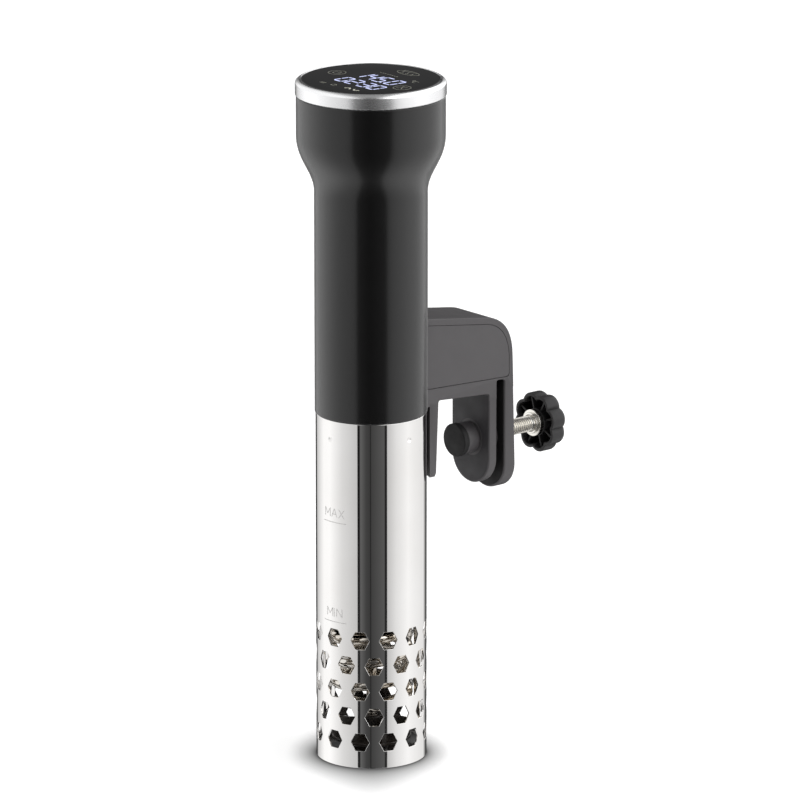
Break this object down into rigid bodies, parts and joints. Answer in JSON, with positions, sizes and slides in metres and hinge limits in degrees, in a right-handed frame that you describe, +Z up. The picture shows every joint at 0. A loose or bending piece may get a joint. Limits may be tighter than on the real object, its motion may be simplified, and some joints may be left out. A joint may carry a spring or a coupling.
{
  "type": "sous vide circulator",
  "caption": "Upright immersion circulator: round touch-display head, matte neck, perforated steel skirt over a coil heater and impeller, and a screw clamp for a pot wall.",
  "frame": {"origin": "on the axis of the tube, on the underside of the base cap that the circulator stands on", "axes": "+Z up along the tube to the glass, -Y towards the user who reads the display, +Y out along the clamp and its screw, X across the clamp"},
  "size_m": [0.073, 0.151, 0.3384],
  "materials": {
    "skirt_steel": "mirror-polished stainless steel",
    "inner_steel": "bright stainless steel with a faint heat tint",
    "plain_steel": "plain zinc-plated steel",
    "screw_steel": "machined stainless steel",
    "satin_ring": "satin, fine radial brushing",
    "aluminium_sink": "plain extruded",
    "housing_plastic": "soft matte black",
    "black_plastic": "moulded, semi-matte",
    "clamp_plastic": "dark grey, fine spark-eroded texture",
    "knob_plastic": "dark grey moulded, semi-matte",
    "inner_plastic": "moulded engineering plastic",
    "bearing_plastic": "machined bearing plastic",
    "rubber": "matt black silicone rubber",
    "display_glass": "black-backed touch glass, polished",
    "display_white": "lit white segment display",
    "circuit_board": "green solder mask",
    "copper_winding": "enamelled copper winding",
    "brass": "machined brass"
  },
  "bodies": {
    "body": {"main_housing": "housing_plastic", "cord_gland": "rubber", "trim_ring": "satin_ring", "glass_gasket": "rubber", "touch_glass": "display_glass", "power_board": "circuit_board", "control_board": "circuit_board", "transformer": "copper_winding", "relay": "black_plastic", "capacitor": "inner_plastic", "heat_sink": "aluminium_sink", "display_module": "display_white", "buzzer": "black_plastic", "board_pillar_1": "brass", "board_pillar_2": "brass", "board_pillar_3": "brass", "bulkhead": "inner_plastic", "bulkhead_seal": "rubber", "shaft_seal": "rubber", "shaft_tube": "inner_steel", "lower_bearing": "bearing_plastic", "heater_coil": "inner_steel", "coil_brace": "plain_steel", "temp_probe": "inner_steel", "level_probe_1": "inner_steel", "level_probe_2": "inner_steel", "motor_can": "plain_steel", "motor_stator": "copper_winding", "motor_plate": "plain_steel", "motor_bearing": "plain_steel", "motor_screw_1": "plain_steel", "motor_screw_2": "plain_steel", "motor_screw_3": "plain_steel", "clamp_bracket": "clamp_plastic", "side_panel_right": "clamp_plastic", "side_panel_left": "clamp_plastic", "bracket_screw_lower": "plain_steel", "bracket_screw_upper": "plain_steel", "threaded_bush": "brass"},
    "rotor": {"drive_shaft": "inner_steel", "motor_magnet": "plain_steel", "cooling_fan": "inner_plastic", "impeller": "black_plastic", "impeller_nut": "brass"},
    "skirt": {"skirt_tube": "skirt_steel", "base_cap": "black_plastic"},
    "clamp_pad": {"pressure_pad": "rubber", "pad_core": "clamp_plastic"},
    "clamp_screw": {"clamp_screw": "screw_steel", "screw_collar": "screw_steel", "clamp_knob": "knob_plastic"}
  },
  "joints": [
    {"name": "rotor_spin", "type": "hinge", "parent": "body", "child": "rotor", "pos_m": [0, 0, 0.2], "axis": [0, 0, 1], "continuous": true},
    {"name": "skirt_slide", "type": "slide", "parent": "skirt", "child": "body", "axis": [0, 0, 1], "range_m": [0, 0.16]},
    {"name": "pad_advance", "type": "slide", "parent": "body", "child": "clamp_pad", "axis": [0, -1, 0], "range_m": [0, 0.02]},
    {"name": "knob_turn", "type": "hinge", "parent": "clamp_pad", "child": "clamp_screw", "pos_m": [0, 0.08, 0.1492], "axis": [0, -1, 0], "range_deg": [0, 5760]}
  ],
  "couplings": [
    {"joint": "knob_turn", "follows": "pad_advance", "rad_per_m": 5026.5}
  ]
}
